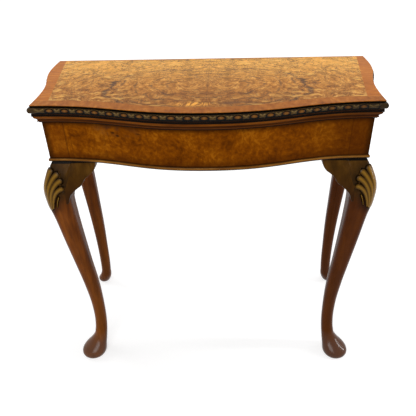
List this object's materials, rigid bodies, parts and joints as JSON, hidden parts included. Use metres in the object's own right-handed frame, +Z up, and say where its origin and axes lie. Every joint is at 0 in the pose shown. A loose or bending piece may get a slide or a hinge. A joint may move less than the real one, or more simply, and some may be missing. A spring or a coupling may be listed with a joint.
{
  "type": "folding card table",
  "caption": "Serpentine fold-over card table on carved cabriole legs; the double top swivels on the frame and opens out flat on edge hinges to a square playing surface.",
  "frame": {"origin": "on the floor, under the middle of the closed table", "axes": "+X along the width to the right as seen from the front, -Y to the serpentine front, +Z up"},
  "size_m": [0.8242, 0.4177, 0.75],
  "materials": {
    "rail_wood": "plain secondary hardwood, stained and unpolished",
    "frieze_walnut": "figured walnut veneer, french polished",
    "bead_walnut": "solid walnut, polished",
    "leg_walnut": "solid walnut, dark polish",
    "ear_walnut": "solid walnut, dark olive polish",
    "burr_walnut": "book-matched burr walnut veneer, polished",
    "crossband_walnut": "straight-grained reddish walnut cross-banding, polished",
    "carved_walnut": "carved walnut, dark ground with rubbed high spots",
    "moulding_walnut": "solid walnut moulding, polished",
    "baize": "wool baize, matt",
    "brass": "worn satin brass",
    "steel": "plain machined steel"
  },
  "bodies": {
    "frame": {"front_rail": "rail_wood", "back_rail": "rail_wood", "side_rail_left": "rail_wood", "side_rail_right": "rail_wood", "frieze_veneer_front": "frieze_walnut", "frieze_veneer_left": "frieze_walnut", "frieze_veneer_right": "frieze_walnut", "cockbead_front": "bead_walnut", "cockbead_left": "bead_walnut", "cockbead_right": "bead_walnut", "pivot_rail": "rail_wood", "pivot_bush": "brass", "well_board": "rail_wood", "well_lining": "baize", "slide_strips": "baize", "front_leg_left": "leg_walnut", "front_leg_right": "leg_walnut", "rear_leg_left": "leg_walnut", "rear_leg_right": "leg_walnut", "front_ear_left": "ear_walnut", "front_ear_right": "ear_walnut", "side_ear_left": "ear_walnut", "side_ear_right": "ear_walnut", "rear_ear_left": "ear_walnut", "rear_ear_right": "ear_walnut"},
    "lower_leaf": {"lower_board": "rail_wood", "lower_border": "crossband_walnut", "lower_baize": "baize", "lower_edge_front": "moulding_walnut", "lower_edge_left": "moulding_walnut", "lower_edge_right": "moulding_walnut", "hinge_lower_left": "brass", "hinge_lower_right": "brass", "hinge_pin_left": "brass", "hinge_pin_right": "brass", "hinge_screws_lower": "brass", "pivot_plate": "steel", "pivot_pin": "steel", "plate_screws": "steel", "pivot_washer": "steel", "pivot_nut": "steel", "stop_block": "rail_wood"},
    "upper_leaf": {"upper_board": "rail_wood", "burr_veneer_left": "burr_walnut", "burr_veneer_right": "burr_walnut", "crossband_left": "crossband_walnut", "crossband_right": "crossband_walnut", "crossband_front": "crossband_walnut", "crossband_back": "crossband_walnut", "upper_border": "crossband_walnut", "upper_baize": "baize", "carved_edge_front": "carved_walnut", "carved_edge_left": "carved_walnut", "carved_edge_right": "carved_walnut", "hinge_upper_left": "brass", "hinge_upper_right": "brass", "hinge_screws_upper": "brass"}
  },
  "joints": [
    {"name": "top_swivel", "type": "hinge", "parent": "frame", "child": "lower_leaf", "pos_m": [0.10007, 0.1062, 0.7103], "axis": [0, 0, 1], "range_deg": [0, 90]},
    {"name": "leaf_fold", "type": "hinge", "parent": "lower_leaf", "child": "upper_leaf", "pos_m": [0, 0.20627, 0.73015], "axis": [-1, 0, 0], "range_deg": [0, 180]}
  ]
}
